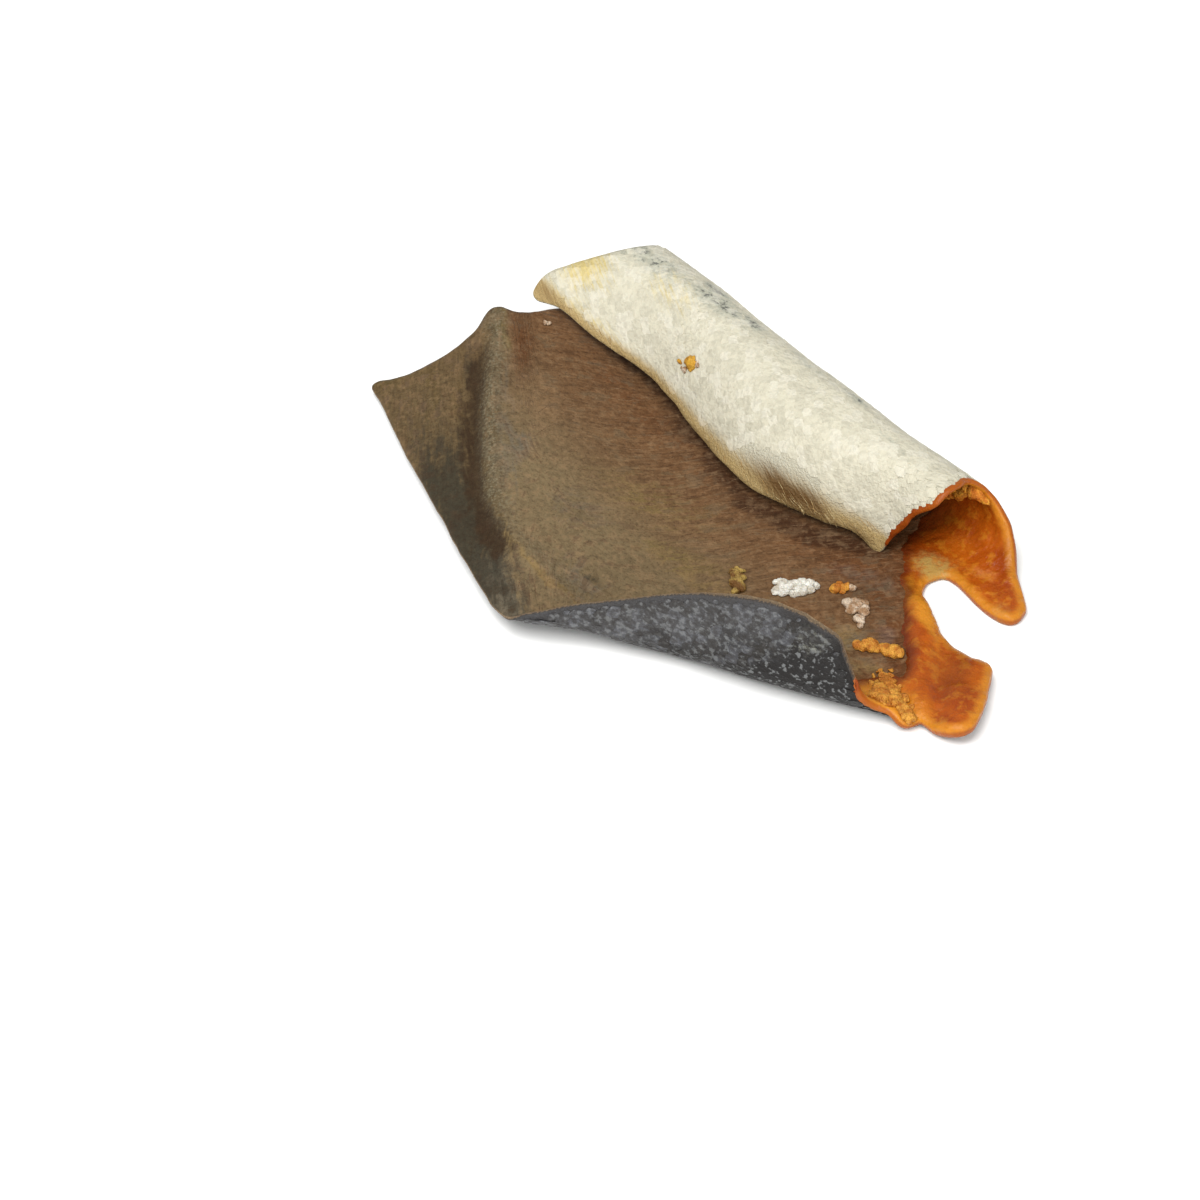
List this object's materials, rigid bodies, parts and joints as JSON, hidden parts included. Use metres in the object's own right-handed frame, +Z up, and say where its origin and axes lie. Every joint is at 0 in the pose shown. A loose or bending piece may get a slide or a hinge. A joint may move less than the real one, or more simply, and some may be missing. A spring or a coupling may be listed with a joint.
{
  "type": "dried salmon skin",
  "caption": "Cut piece of dried salmon skin with its scales on, fleshy side up: far edge rolled into a long hollow roll, near edge curled up, ragged end with orange flesh.",
  "frame": {"origin": "middle of the bounding box in plan, at the level of the surface the piece rests on", "axes": "+X along the roll from the cut end to the ragged end with the flesh, +Y from the curled near wall to the roll, +Z up"},
  "size_m": [0.136, 0.0802, 0.0211],
  "materials": {
    "skin": "satin",
    "scales": "satin",
    "flesh": "satin",
    "fat": "matte"
  },
  "bodies": {
    "root": {"salmon_skin": "skin"}
  },
  "joints": []
}
